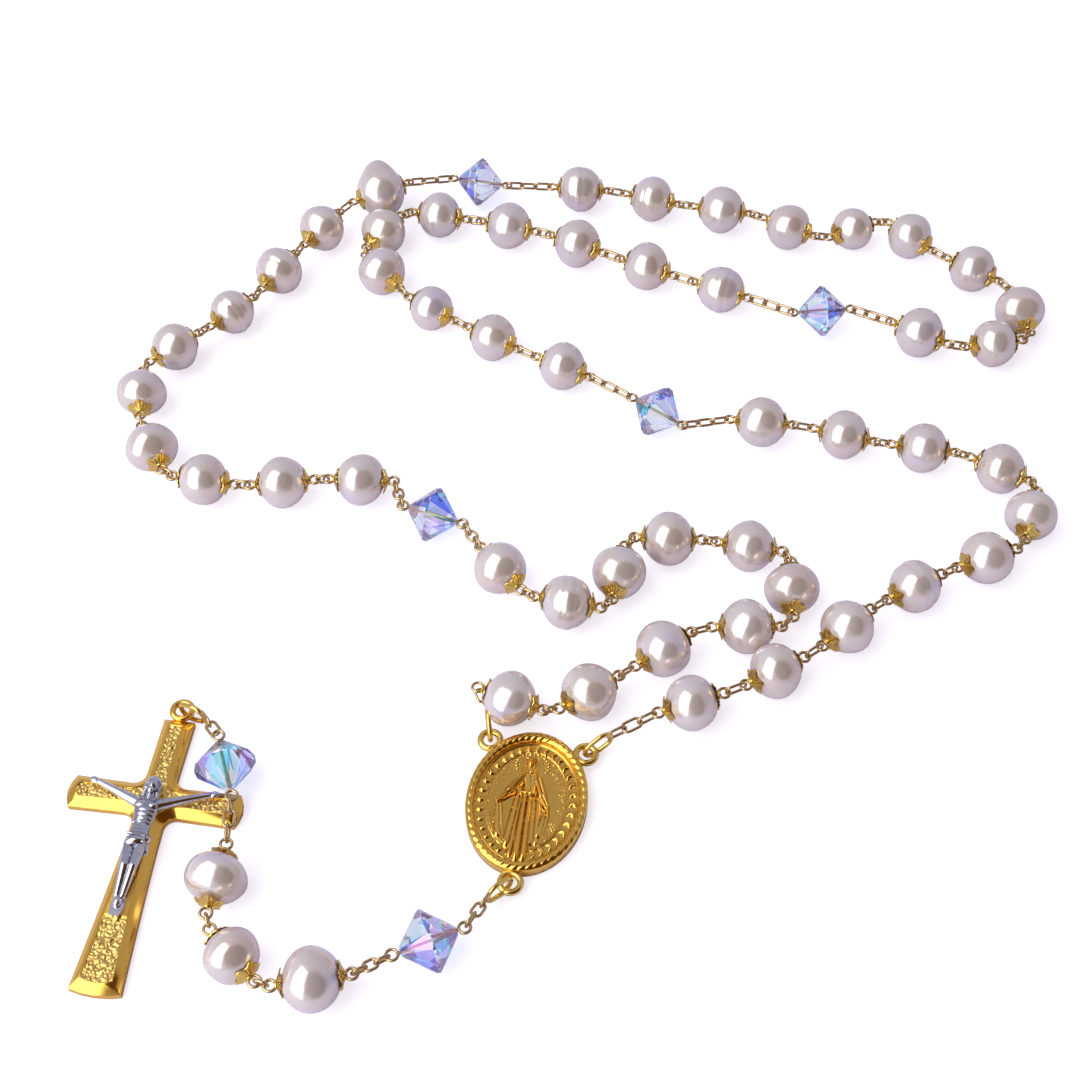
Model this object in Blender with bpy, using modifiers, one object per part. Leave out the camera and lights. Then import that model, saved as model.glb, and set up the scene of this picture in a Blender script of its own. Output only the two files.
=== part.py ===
"""Rosary: five decades of pearls with crystal beads between them, an oval medal and a crucifix.

The rosary lies open on a flat surface at z = 0, and the origin is the centre of the medal's flat
back. Lengths are written in millimetres and headings in degrees from +X; each object is scaled to
metres when it is finished. A bead's object holds the bead, its eye pin and the links on its outer
side, because those are closed on each other for good; the bead swings on its neighbour's eye.
"""
import math
import random

import bmesh
import bpy
from mathutils import Matrix, Vector

MM = 0.001

# Beads
PEARL_WIDTH = 8.4
PEARL_WIDTH_SPREAD = 0.25
PEARL_LENGTH_RATIO = 0.93
ODD_PEARLS = {"pearl_2_03": 7.8, "pearl_3_06": 7.8, "pearl_4_01": 9.4, "pearl_4_04": 7.8,
              "pendant_pearl_2": 7.8}
CRYSTAL_WIDTH = 8.9
CRYSTAL_LENGTH = 8.0
BEAD_SIDES = 8
BEAD_GAP = 0.45
CAP_RADIUS = 2.1
CAP_AT = 0.93
PEARL_SHOULDER_AT = 0.3
CRYSTAL_HOLE_RADIUS = 0.8
CRYSTAL_BELT = 0.3

# Eye pins, links and rings
WIRE_RADIUS = 0.23
WIRE_SIDES = 3
PIN_RADIUS = 0.19
PIN_BITE = 0.08
EYE_RADIUS = 0.82
PEARL_TIP = 2.2
CRYSTAL_TIP = 2.0
LINK_HALF_WIDTH = 0.75
LINK_BITE = 0.1
EYE_BITE = 0.2
SLACK = (0.6, 2.0)
RUN_OF_3 = (3.6, 6.0)
RUN_OF_2 = (2.6, 4.6)
EYE_GAP = 0.2
ROLLS = (math.radians(84), math.radians(8))
EYE_ROLL = math.radians(3)
RING_LENGTH = 4.6
RING_HALF_WIDTH = 1.6
RING_WIRE_RADIUS = 0.36
RING_RISE = math.radians(25)
SHARPEST_FOLD = 18.6

# Medal
MEDAL_HALF_WIDTH = 8.7
MEDAL_HALF_HEIGHT = 11.3
MEDAL_THICKNESS = 2.4
MEDAL_FIELD = 1.7
MEDAL_TURN = math.radians(-10)
EYELET_RADIUS = 1.45
EYELET_WIRE_RADIUS = 0.48
MEDAL_EYELETS = {"right": (7.1, 9.2), "left": (-7.1, 9.2), "bottom": (0, -12.9)}
MEDAL_EYELET_HEIGHT = 1.4
RING_HEADINGS = {"right": 30, "left": 97, "bottom": 225, "crucifix": 330}

# Crucifix, measured down and across from the centre of its eyelet
CRUCIFIX_EYELET = (-51.3, 15.5)
CRUCIFIX_TURN = math.radians(-8)
CRUCIFIX_THICKNESS = 2.0
CRUCIFIX_EYELET_HEIGHT = 1.2
BODY_TOP = 1.7
BODY_BOTTOM = 44.8
ARM_LEVEL = 15.2
ARM_SPAN = 12.9
BEAM_HALF_TOP = 2.3
BEAM_HALF_BOTTOM = 3.65
ARM_HALF_WIDTH = 2.4
ARM_END_HALF = 2.55
CROSSING_FILLET = 1.7
CORPUS_LIFT = 0.3
CORPUS_HALF_DEPTH = 1.4

# The route on the table, as the places where one bead's wire meets the next one's, from the
# medal's right eyelet round to its left one, and down the pendant
DECADES = [
    [(18.5, 14), (30.5, 19), (43, 25.5), (54, 33), (66, 39.5), (78, 46),
     (82, 56.5), (72, 62), (59.5, 65.5), (46, 69.5), (32.5, 71.5)],
    [(11.5, 80.5), (-0.5, 86.5), (-12.5, 94), (-22.5, 102), (-30, 112.5), (-23, 122),
     (-11, 120.5), (2.5, 117), (14.5, 111), (27.5, 105), (40.5, 99.5)],
    [(62.5, 94.5), (74, 88), (88, 90), (85.5, 103), (74, 111.5), (65.5, 121),
     (54, 115.5), (42, 122), (29.5, 124.5), (16.5, 128.5), (3, 130)],
    [(-22, 131.5), (-35, 124), (-42.5, 112), (-49.5, 100), (-57, 91), (-65, 82),
     (-62, 71), (-57.5, 61), (-47, 58.5), (-35.5, 58), (-23, 57.5)],
    [(-7, 44), (2.5, 37), (13, 33), (17, 44.5), (27.5, 41), (39.5, 43),
     (38.5, 30.5), (27, 27), (14.5, 20), (3, 13.5), (-7.5, 18)],
]
CRYSTALS = [
    [(26.5, 68), (17, 76)],
    [(46, 95.5), (58, 97)],
    [(-3, 129.5), (-15, 132.5)],
    [(-21, 52.5), (-9.5, 48)],
]
PENDANT_CRYSTALS = [
    [(-7.5, -20.5), (-18.5, -25)],
    [(-41.5, -1.5), (-45, 10)],
]
PENDANT_PEARLS = [(-23, -27), (-34.5, -28.5), (-42.5, -20.5), (-41.5, -7)]
SETTLE_SWEEPS = 400

COLLECTION = "rosary"
PAIRED = (("pearl_2_04", "pearl_2_05"), ("pearl_3_05", "pearl_3_06"))
OPENED_AFTER = "pearl_3_06"


def clear_scene():
    for item in list(bpy.data.objects):
        bpy.data.objects.remove(item, do_unlink=True)


def make_collection(name):
    collection = bpy.data.collections.new(name)
    bpy.context.scene.collection.children.link(collection)
    return collection


def make_material(name, color, roughness, metallic, transmission=0.0):
    material = bpy.data.materials.new(name)
    material.use_nodes = True
    shader = material.node_tree.nodes["Principled BSDF"]
    shader.inputs["Base Color"].default_value = (*color, 1.0)
    shader.inputs["Roughness"].default_value = roughness
    shader.inputs["Metallic"].default_value = metallic
    shader.inputs["Transmission Weight"].default_value = transmission
    return material


# ---------------------------------------------------------------- the chain's layout


def chain_beads():
    """List the beads of the loop and the pendant with the two points that each lies between."""
    widths = random.Random(7)
    beads = []

    def pearl(name, near, far):
        width = PEARL_WIDTH + widths.uniform(-PEARL_WIDTH_SPREAD, PEARL_WIDTH_SPREAD)
        width = ODD_PEARLS.get(name, width)
        length = width * PEARL_LENGTH_RATIO
        beads.append({"name": name, "crystal": False, "width": width, "length": length,
                      "tip": length / 2 + PEARL_TIP, "ends": (near, far)})

    def crystal(name, near, far):
        beads.append({"name": name, "crystal": True, "width": CRYSTAL_WIDTH,
                      "length": CRYSTAL_LENGTH, "tip": CRYSTAL_LENGTH / 2 + CRYSTAL_TIP,
                      "ends": (near, far)})

    point = 0
    for decade in range(len(DECADES)):
        for place in range(len(DECADES[decade]) - 1):
            pearl(f"pearl_{decade + 1}_{place + 1:02d}", point, point + 1)
            point += 1
        point += 1
        if decade < len(CRYSTALS):
            crystal(f"crystal_{decade + 1}", point, point + 1)
            point += 2
    crystal("pendant_crystal_1", point, point + 1)
    point += 2
    for place in range(len(PENDANT_PEARLS) - 1):
        pearl(f"pendant_pearl_{place + 1}", point, point + 1)
        point += 1
    crystal("pendant_crystal_2", point + 1, point + 2)
    return beads


def chain_points():
    """Return the route's points in the order that chain_beads counts them in."""
    rows = []
    for decade, row in enumerate(DECADES):
        rows += row
        if decade < len(CRYSTALS):
            rows += CRYSTALS[decade]
    rows += PENDANT_CRYSTALS[0] + PENDANT_PEARLS + PENDANT_CRYSTALS[1]
    return [Vector(point) for point in rows]


def turned_place(place, turn):
    return Matrix.Rotation(turn, 2) @ Vector(place)


def ring_ends():
    """Return each jump ring's two ends, in its eyelet and at the chain."""
    eyelets = {side: (*turned_place(place, MEDAL_TURN), MEDAL_EYELET_HEIGHT)
               for side, place in MEDAL_EYELETS.items()}
    eyelets["crucifix"] = (*CRUCIFIX_EYELET, CRUCIFIX_EYELET_HEIGHT)
    ends = {}
    for side, place in eyelets.items():
        heading = math.radians(RING_HEADINGS[side])
        level = RING_LENGTH * math.cos(RING_RISE)
        step = Vector((level * math.cos(heading), level * math.sin(heading),
                       RING_LENGTH * math.sin(RING_RISE)))
        ends[side] = (Vector(place), Vector(place) + step)
    return ends


def span_limits(beads, points, rings):
    """List the least and greatest distance between points that the wire allows.

    A fixed place stands in for a point where a run of links ends at a jump ring.
    """
    limits = []
    for bead in beads:
        near, far = bead["ends"]
        tips = 2 * bead["tip"]
        slack = (0, 0.1) if bead["crystal"] else SLACK
        limits.append((near, far, tips + slack[0], tips + slack[1]))
    for first, second in zip(beads, beads[1:]):
        far, near = first["ends"][1], second["ends"][0]
        if second["name"] == "pendant_crystal_1":
            continue
        if far != near:
            limits.append((far, near, *RUN_OF_3))
        elif not first["crystal"]:
            limits.append((first["ends"][0], second["ends"][1], SHARPEST_FOLD, math.inf))
    loop_end, pendant_start = (next(bead["ends"] for bead in beads if bead["name"] == name)
                               for name in ("pearl_5_10", "pendant_crystal_1"))
    fixed = {"right": (0, RUN_OF_3), "left": (loop_end[1], RUN_OF_2),
             "bottom": (pendant_start[0], RUN_OF_3), "crucifix": (len(points) - 1, RUN_OF_2)}
    for side, (point, run) in fixed.items():
        limits.append((rings[side][1].xy, point, *run))
    return limits


def settle(beads, points, rings):
    """Move the points as little as it takes for every length to be real and no beads to touch."""
    limits = span_limits(beads, points, rings)
    for _ in range(SETTLE_SWEEPS):
        for first, second, least, most in limits:
            fixed = not isinstance(first, int)
            start = first if fixed else points[first]
            along = points[second] - start
            wanted = min(max(along.length, least), most)
            step = along * (wanted / along.length - 1)
            if fixed:
                points[second] += step
            else:
                points[first] -= step / 2
                points[second] += step / 2
        for place, bead in enumerate(beads):
            for other in beads[place + 1:]:
                apart = (bead["width"] + other["width"]) / 2 + BEAD_GAP
                part_beads(bead, other, 0, 0, apart, points)
        for bead, other in zip(beads, beads[1:]):
            apart = 2 * (EYE_RADIUS + WIRE_RADIUS) + EYE_GAP
            reach, other_reach = bead["tip"] - EYE_RADIUS, EYE_RADIUS - other["tip"]
            part_beads(bead, other, reach, other_reach, apart, points)


def part_beads(bead, other, reach, other_reach, apart, points):
    """Push two beads apart where their axes, followed by each one's reach, come too close."""
    between = on_axis(other, other_reach, points) - on_axis(bead, reach, points)
    if between.length < apart:
        step = between * (apart / between.length - 1) / 2
        for point in bead["ends"]:
            points[point] -= step
        for point in other["ends"]:
            points[point] += step


def on_axis(bead, reach, points):
    near, far = bead["ends"]
    along = (points[far] - points[near]).normalized()
    return (points[near] + points[far]) / 2 + along * reach


def place_beads():
    """Give every bead its centre, its direction and the centres of its two eyes."""
    beads, points, rings = chain_beads(), chain_points(), ring_ends()
    settle(beads, points, rings)
    for bead in beads:
        near, far = bead["ends"]
        bead["centre"] = on_axis(bead, 0, points).to_3d()
        bead["centre"].z = bead["width"] / 2
        bead["along"] = (points[far] - points[near]).normalized().to_3d()
        reach = bead["along"] * (bead["tip"] - EYE_RADIUS)
        bead["near_eye"] = bead["centre"] - reach
        bead["far_eye"] = bead["centre"] + reach
    return beads, rings


# ---------------------------------------------------------------- shapes


def new_object(name, mesh):
    item = bpy.data.objects.new(name, mesh)
    bpy.context.scene.collection.objects.link(item)
    return item


def frame_along(centre, along, roll):
    """Return the matrix that stands +X along a direction and turns the shape about it."""
    side = Vector((0, 0, 1)).cross(along).normalized()
    up = along.cross(side)
    turn = Matrix((along, side, up)).transposed().to_4x4()
    return Matrix.Translation(centre) @ turn @ Matrix.Rotation(roll, 4, "X")


def ring_mesh(name, radius, wire_radius, stretch, segments):
    """Make a wire ring in its XY plane, drawn out along X into an oval."""
    bpy.ops.mesh.primitive_torus_add(major_segments=segments, minor_segments=WIRE_SIDES,
                                     major_radius=radius, minor_radius=wire_radius)
    item = bpy.context.object
    mesh = item.data
    mesh.name = name
    bpy.data.objects.remove(item, do_unlink=True)
    for vertex in mesh.vertices:
        vertex.co.x += math.copysign(stretch / 2, vertex.co.x)
    return mesh


def wire_ring(centre, along, roll, length, half_width, wire_radius, segments):
    mesh = ring_mesh("ring", half_width, wire_radius, length - 2 * half_width, segments)
    mesh.transform(frame_along(centre, along, roll))
    return new_object("ring", mesh)


def link_run(start, end, count):
    """Place oval links on a line, turned in alternation, whose end wires bite into each other."""
    along = (end - start).normalized()
    length = ((end - start).length + (count - 1) * LINK_BITE) / count
    links = []
    for place in range(count):
        centre = start + along * (length / 2 + place * (length - LINK_BITE))
        roll = ROLLS[place % 2]
        half_width = min(LINK_HALF_WIDTH, length / 2)
        links.append(wire_ring(centre, along, roll, length, half_width, WIRE_RADIUS, 6))
    return links


def jump_ring(ends):
    inner, outer = ends
    along = (outer - inner).normalized()
    return wire_ring((inner + outer) / 2, along, math.pi / 2, RING_LENGTH, RING_HALF_WIDTH,
                     RING_WIRE_RADIUS, 10)


def turned_shape(name, profile, sides):
    """Turn a profile of (radius, height) points about Z with a Screw modifier."""
    mesh = bpy.data.meshes.new(name)
    points = [(radius, 0, height) for radius, height in profile]
    mesh.from_pydata(points, [(i, i + 1) for i in range(len(points) - 1)], [])
    item = new_object(name, mesh)
    screw = item.modifiers.new("turn", "SCREW")
    screw.steps = sides
    screw.render_steps = sides
    screw.use_merge_vertices = True
    screw.merge_threshold = 0.0001
    return finished_mesh(item)


def finished_mesh(item):
    """Replace an object by the mesh that its modifiers make of it."""
    graph = bpy.context.evaluated_depsgraph_get()
    mesh = bpy.data.meshes.new_from_object(item.evaluated_get(graph))
    mesh.transform(item.matrix_world)
    name = item.name
    bpy.data.objects.remove(item, do_unlink=True)
    return new_object(name, mesh)


def fuse(items):
    """Join closed solids that overlap into one."""
    base = items[0]
    for item in items[1:]:
        union = base.modifiers.new("join", "BOOLEAN")
        union.operation = "UNION"
        union.solver = "EXACT"
        union.object = item
    joined = finished_mesh(base)
    for item in items[1:]:
        bpy.data.objects.remove(item, do_unlink=True)
    return joined


def pearl_profile(bead):
    """A near-round pearl with a shallow cap at each end and the pin out of both caps."""
    half, radius = bead["length"] / 2, bead["width"] / 2
    pin_end = bead["tip"] - 2 * EYE_RADIUS + PIN_BITE
    upper = [(0, pin_end), (PIN_RADIUS, pin_end), (CAP_RADIUS, half * CAP_AT),
             (radius, half * PEARL_SHOULDER_AT)]
    return upper + [(r, -z) for r, z in reversed(upper)]


def crystal_profile(bead):
    """A double cone with a short belt, drilled along its axis and filled by the pin."""
    half, radius = bead["length"] / 2, bead["width"] / 2
    pin_end = bead["tip"] - 2 * EYE_RADIUS + PIN_BITE
    upper = [(0, pin_end), (PIN_RADIUS, pin_end), (PIN_RADIUS, half),
             (CRYSTAL_HOLE_RADIUS, half), (radius, CRYSTAL_BELT)]
    return upper + [(r, -z) for r, z in reversed(upper)]


def bead_solids(bead):
    """Make a bead on its pin, with an eye at both ends that lies flat."""
    profile = crystal_profile(bead) if bead["crystal"] else pearl_profile(bead)
    body = turned_shape(bead["name"], profile, BEAD_SIDES)
    stand = frame_along(bead["centre"], bead["along"], 0) @ Matrix.Rotation(math.pi / 2, 4, "Y")
    body.data.transform(stand)
    eyes = [wire_ring(bead[end], bead["along"], EYE_ROLL, 2 * EYE_RADIUS, EYE_RADIUS,
                      WIRE_RADIUS, 6) for end in ("near_eye", "far_eye")]
    return [body] + eyes


def neighbour_links(bead, follower, closed):
    """Link a bead's far eye to the next bead's near eye; closed bites into that eye as well."""
    start, end = bead["far_eye"], follower["near_eye"]
    along = (end - start).normalized()
    count = 3 if bead["crystal"] or follower["crystal"] else 1
    inset = EYE_RADIUS - EYE_BITE
    reach = end - along * inset if closed else end
    return link_run(start + along * inset, reach, count)


def ring_links(bead, eye, ends, count):
    """Hang a bead's outer eye on a jump ring by a run of links."""
    start, end = ends[1], bead[eye]
    along = (end - start).normalized()
    run = link_run(start - along * LINK_BITE, end - along * (EYE_RADIUS - EYE_BITE), count)
    return [jump_ring(ends)] + run


# ---------------------------------------------------------------- medal and crucifix


def eyelet(place, height):
    return wire_ring(Vector((*place, height)), Vector((1, 0, 0)), 0, 2 * EYELET_RADIUS,
                     EYELET_RADIUS, EYELET_WIRE_RADIUS, 10)


def make_medal():
    """An oval disc with a raised rim, flat at the back, and three eyelets on its edge."""
    tall = MEDAL_HALF_HEIGHT
    profile = [(0, MEDAL_FIELD), (0.8 * tall, MEDAL_FIELD), (0.86 * tall, MEDAL_THICKNESS),
               (0.95 * tall, MEDAL_THICKNESS), (tall, 0.8 * MEDAL_THICKNESS),
               (tall, 0.2 * MEDAL_THICKNESS), (0.96 * tall, 0), (0, 0)]
    disc = turned_shape("medal", profile, 32)
    disc.data.transform(Matrix.Scale(MEDAL_HALF_WIDTH / tall, 4, Vector((1, 0, 0))))
    disc.data.transform(Matrix.Rotation(MEDAL_TURN, 4, "Z"))
    eyelets = [eyelet(turned_place(place, MEDAL_TURN), MEDAL_EYELET_HEIGHT)
               for place in MEDAL_EYELETS.values()]
    return fuse([disc] + eyelets)


def arc(centre, radius, first, last, steps):
    """Points on an arc between two angles in degrees."""
    angles = [math.radians(first + (last - first) * i / steps) for i in range(steps + 1)]
    return [(centre[0] + radius * math.cos(a), centre[1] + radius * math.sin(a)) for a in angles]


def cross_outline():
    """The cross's right half as (across, up) points from its top to its foot, then mirrored."""
    top, foot = -BODY_TOP, -BODY_BOTTOM
    fillet = CROSSING_FILLET
    upper_edge, lower_edge = -ARM_LEVEL + ARM_HALF_WIDTH, -ARM_LEVEL - ARM_HALF_WIDTH
    half = [(BEAM_HALF_TOP, top)]
    half += arc((BEAM_HALF_TOP + fillet, upper_edge + fillet), fillet, 180, 270, 3)
    half += [(ARM_SPAN - 0.6, -ARM_LEVEL + ARM_END_HALF), (ARM_SPAN, -ARM_LEVEL),
             (ARM_SPAN - 0.6, -ARM_LEVEL - ARM_END_HALF)]
    half += arc((BEAM_HALF_TOP + fillet, lower_edge - fillet), fillet, 90, 180, 3)
    half += [(BEAM_HALF_BOTTOM, foot + 0.6), (0, foot)]
    return half + [(-across, up) for across, up in reversed(half[:-1])]


def make_crucifix():
    """A flat cross with flared arms and a flat back, hung from an eyelet at its top."""
    curve = bpy.data.curves.new("cross", "CURVE")
    curve.dimensions = "2D"
    curve.fill_mode = "BOTH"
    curve.extrude = CRUCIFIX_THICKNESS / 2
    spline = curve.splines.new("POLY")
    outline = cross_outline()
    spline.points.add(len(outline) - 1)
    for point, place in zip(spline.points, outline):
        point.co = (*place, 0, 1)
    spline.use_cyclic_u = True
    cross = finished_mesh(new_object("crucifix", curve))
    weld_caps(cross)
    stand = Matrix.Translation((*CRUCIFIX_EYELET, CRUCIFIX_THICKNESS / 2))
    cross.data.transform(stand @ Matrix.Rotation(CRUCIFIX_TURN, 4, "Z"))
    return fuse([cross, eyelet(CRUCIFIX_EYELET, CRUCIFIX_EYELET_HEIGHT)])


def weld_caps(item):
    shape = bmesh.new()
    shape.from_mesh(item.data)
    bmesh.ops.remove_doubles(shape, verts=shape.verts, dist=0.0001)
    bmesh.ops.recalc_face_normals(shape, faces=shape.faces)
    shape.to_mesh(item.data)
    shape.free()


def make_corpus():
    """A simple figure with spread arms, as a skin over a stick figure, just above the cross."""
    joints = {"head": (0, -14.3, 1.0), "neck": (0, -16.2, 0.6), "chest": (0, -18.0, 1.4),
              "waist": (0, -21.2, 1.2), "hips": (0, -23.2, 1.4), "knees": (0, -26.8, 1.0),
              "feet": (0, -33.6, 0.6), "left_arm": (-4.6, -15.8, 0.6), "left_hand": (-9.2, -14.2, 0.5),
              "right_arm": (4.6, -15.8, 0.6), "right_hand": (9.2, -14.2, 0.5)}
    bones = [("head", "neck"), ("neck", "chest"), ("chest", "waist"), ("waist", "hips"),
             ("hips", "knees"), ("knees", "feet"), ("neck", "left_arm"), ("left_arm", "left_hand"),
             ("neck", "right_arm"), ("right_arm", "right_hand")]
    order = list(joints)
    height = CRUCIFIX_THICKNESS + CORPUS_LIFT + CORPUS_HALF_DEPTH
    mesh = bpy.data.meshes.new("corpus")
    mesh.from_pydata([(x, y, height) for x, y, _ in joints.values()],
                     [(order.index(a), order.index(b)) for a, b in bones], [])
    figure = new_object("corpus", mesh)
    figure.modifiers.new("body", "SKIN")
    for skin, (_, _, radius) in zip(mesh.skin_vertices[0].data, joints.values()):
        skin.radius = (radius, radius)
    mesh.skin_vertices[0].data[order.index("hips")].use_root = True
    figure = finished_mesh(figure)
    figure.data.transform(Matrix.Translation((*CRUCIFIX_EYELET, 0))
                          @ Matrix.Rotation(CRUCIFIX_TURN, 4, "Z"))
    return figure


# ---------------------------------------------------------------- assembly


def swing_points(beads, rings):
    """Return the point on whose level axis each bead swings, by name.

    A bead swings where its near eye hangs, and from the opened place on, where its far eye does.
    """
    names = [bead["name"] for bead in beads]
    points = {bead["name"]: bead["near_eye"] - bead["along"] * EYE_RADIUS for bead in beads}
    for place in range(names.index(OPENED_AFTER) + 1, names.index("pearl_5_10")):
        points[names[place]] = points[names[place + 1]]
    points["pearl_1_01"] = eyelet_edge(rings["right"])
    points["pearl_5_10"] = eyelet_edge(rings["left"])
    points["pendant_crystal_1"] = eyelet_edge(rings["bottom"])
    points["crucifix"] = eyelet_edge(rings["crucifix"])
    return points


def eyelet_edge(ends):
    """The middle of an eyelet's wire, on the side where its ring pulls."""
    inner, outer = ends
    level = (outer - inner).to_2d().normalized() * EYELET_RADIUS
    return inner + level.to_3d()


def finish(item, name, collection, material, origin):
    """Scale an object to metres, put its origin on its joint and file it under its name."""
    item.data.transform(Matrix.Translation(-origin))
    item.data.transform(Matrix.Scale(MM, 4))
    item.location = origin * MM
    item.name = name
    item.data.name = name
    item.data.materials.clear()
    item.data.materials.append(material)
    item.data.shade_smooth()
    item.data.set_sharp_from_angle(angle=math.radians(30))
    bpy.context.scene.collection.objects.unlink(item)
    collection.objects.link(item)


def node_names(beads):
    """Name the object that each bead belongs to: a touching pair shares one."""
    names = {bead["name"]: bead["name"] for bead in beads}
    for first, second in PAIRED:
        names[first] = names[second] = f"{first}_{second[-2:]}"
    return names


def build():
    clear_scene()
    collection = make_collection(COLLECTION)
    pearl = make_material("pearl", (0.86, 0.82, 0.84), 0.18, 0.0)
    crystal = make_material("crystal", (0.80, 0.88, 0.98), 0.03, 0.0, 0.9)
    gold = make_material("gold", (0.83, 0.60, 0.22), 0.22, 1.0)
    silver = make_material("silver", (0.62, 0.62, 0.66), 0.3, 1.0)
    beads, rings = place_beads()
    swings = swing_points(beads, rings)
    names = node_names(beads)
    solids = {}
    for place, bead in enumerate(beads):
        pieces = bead_solids(bead)
        if bead["name"] in ("pearl_1_01", "pendant_crystal_1"):
            side = "right" if bead["name"] == "pearl_1_01" else "bottom"
            pieces += ring_links(bead, "near_eye", rings[side], 3)
        if bead["name"] in ("pearl_5_10", "pendant_crystal_2"):
            side = "left" if bead["name"] == "pearl_5_10" else "crucifix"
            pieces += ring_links(bead, "far_eye", rings[side], 2)
        elif bead["name"] != OPENED_AFTER:
            follower = beads[place + 1]
            closed = names[bead["name"]] == names[follower["name"]]
            pieces += neighbour_links(bead, follower, closed)
        solids.setdefault(names[bead["name"]], []).extend(pieces)
    for name, pieces in solids.items():
        material = crystal if "crystal" in name else pearl
        first = next(bead for bead in beads if names[bead["name"]] == name)
        finish(fuse(pieces), name, collection, material, swings[first["name"]])
    finish(make_medal(), "medal", collection, gold, Vector((0, 0, 0)))
    finish(make_crucifix(), "crucifix", collection, gold, swings["crucifix"])
    finish(make_corpus(), "corpus", collection, silver, swings["crucifix"])


build()
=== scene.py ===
"""Looks of the rosary: pearls with caps on eye pins, crystals, links, medal and crucifix.

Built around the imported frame. Lengths are in millimetres until a piece is finished, and headings
in degrees from +X, as in the CAD, whose route of the chain on the table is repeated here.
"""
import math
import random

import bmesh
import bpy
import numpy as np
from mathutils import Matrix, Quaternion, Vector, noise


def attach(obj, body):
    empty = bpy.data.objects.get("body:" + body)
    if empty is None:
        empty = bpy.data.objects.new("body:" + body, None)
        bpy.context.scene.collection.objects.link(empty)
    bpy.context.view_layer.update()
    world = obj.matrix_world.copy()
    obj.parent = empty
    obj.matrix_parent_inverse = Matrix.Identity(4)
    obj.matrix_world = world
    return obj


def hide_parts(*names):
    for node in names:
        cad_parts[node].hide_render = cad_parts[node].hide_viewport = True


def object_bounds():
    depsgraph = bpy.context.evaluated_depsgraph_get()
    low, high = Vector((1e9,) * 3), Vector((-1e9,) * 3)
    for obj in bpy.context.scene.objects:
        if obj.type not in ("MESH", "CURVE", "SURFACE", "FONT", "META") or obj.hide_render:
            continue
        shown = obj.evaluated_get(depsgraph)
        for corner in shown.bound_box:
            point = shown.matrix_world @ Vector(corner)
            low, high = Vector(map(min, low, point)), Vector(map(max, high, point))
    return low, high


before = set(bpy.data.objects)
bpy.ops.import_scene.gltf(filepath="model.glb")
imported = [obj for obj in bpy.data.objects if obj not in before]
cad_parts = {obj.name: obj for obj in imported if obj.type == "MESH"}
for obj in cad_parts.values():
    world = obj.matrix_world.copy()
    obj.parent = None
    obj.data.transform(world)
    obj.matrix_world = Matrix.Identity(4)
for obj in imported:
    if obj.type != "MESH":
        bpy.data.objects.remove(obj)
cad_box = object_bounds()

MM = 0.001

# Beads
PEARL_WIDTH = 8.4
PEARL_WIDTH_SPREAD = 0.25
PEARL_LENGTH_RATIO = 0.93
ODD_PEARLS = {"pearl_2_03": 7.8, "pearl_3_06": 7.8, "pearl_4_01": 9.4, "pearl_4_04": 7.8,
              "pendant_pearl_2": 7.8}
CRYSTAL_WIDTH = 8.9
CRYSTAL_LENGTH = 8.0
BEAD_GAP = 0.45

# Eye pins, links and rings
WIRE_RADIUS = 0.23
EYE_RADIUS = 0.82
PEARL_TIP = 2.2
CRYSTAL_TIP = 2.0
LINK_HALF_WIDTH = 0.75
SLACK = (0.6, 2.0)
RUN_OF_3 = (3.6, 6.0)
RUN_OF_2 = (2.6, 4.6)
EYE_GAP = 0.2
ROLLS = (math.radians(84), math.radians(8))
EYE_ROLL = math.radians(3)
RING_LENGTH = 4.6
RING_HALF_WIDTH = 1.6
RING_WIRE_RADIUS = 0.36
RING_RISE = math.radians(25)
SHARPEST_FOLD = 18.6

# Medal
MEDAL_HALF_WIDTH = 8.7
MEDAL_HALF_HEIGHT = 11.3
MEDAL_THICKNESS = 2.4
MEDAL_TURN = math.radians(-10)
EYELET_RADIUS = 1.45
EYELET_WIRE_RADIUS = 0.48
MEDAL_EYELETS = {"right": (7.1, 9.2), "left": (-7.1, 9.2), "bottom": (0, -12.9)}
MEDAL_EYELET_HEIGHT = 1.4
RING_HEADINGS = {"right": 30, "left": 97, "bottom": 225, "crucifix": 330}

# Crucifix, measured down and across from the centre of its eyelet
CRUCIFIX_EYELET = (-51.3, 15.5)
CRUCIFIX_TURN = math.radians(-8)
CRUCIFIX_EYELET_HEIGHT = 1.2
BODY_TOP = 1.7
BODY_BOTTOM = 44.8
ARM_LEVEL = 15.2
ARM_SPAN = 12.9
BEAM_HALF_TOP = 2.3
BEAM_HALF_BOTTOM = 3.65
ARM_HALF_WIDTH = 2.4
ARM_END_HALF = 2.55
CROSSING_FILLET = 1.7

# The route on the table, as the places where one bead's wire meets the next one's, from the
# medal's right eyelet round to its left one, and down the pendant
DECADES = [
    [(18.5, 14), (30.5, 19), (43, 25.5), (54, 33), (66, 39.5), (78, 46),
     (82, 56.5), (72, 62), (59.5, 65.5), (46, 69.5), (32.5, 71.5)],
    [(11.5, 80.5), (-0.5, 86.5), (-12.5, 94), (-22.5, 102), (-30, 112.5), (-23, 122),
     (-11, 120.5), (2.5, 117), (14.5, 111), (27.5, 105), (40.5, 99.5)],
    [(62.5, 94.5), (74, 88), (88, 90), (85.5, 103), (74, 111.5), (65.5, 121),
     (54, 115.5), (42, 122), (29.5, 124.5), (16.5, 128.5), (3, 130)],
    [(-22, 131.5), (-35, 124), (-42.5, 112), (-49.5, 100), (-57, 91), (-65, 82),
     (-62, 71), (-57.5, 61), (-47, 58.5), (-35.5, 58), (-23, 57.5)],
    [(-7, 44), (2.5, 37), (13, 33), (17, 44.5), (27.5, 41), (39.5, 43),
     (38.5, 30.5), (27, 27), (14.5, 20), (3, 13.5), (-7.5, 18)],
]
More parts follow.
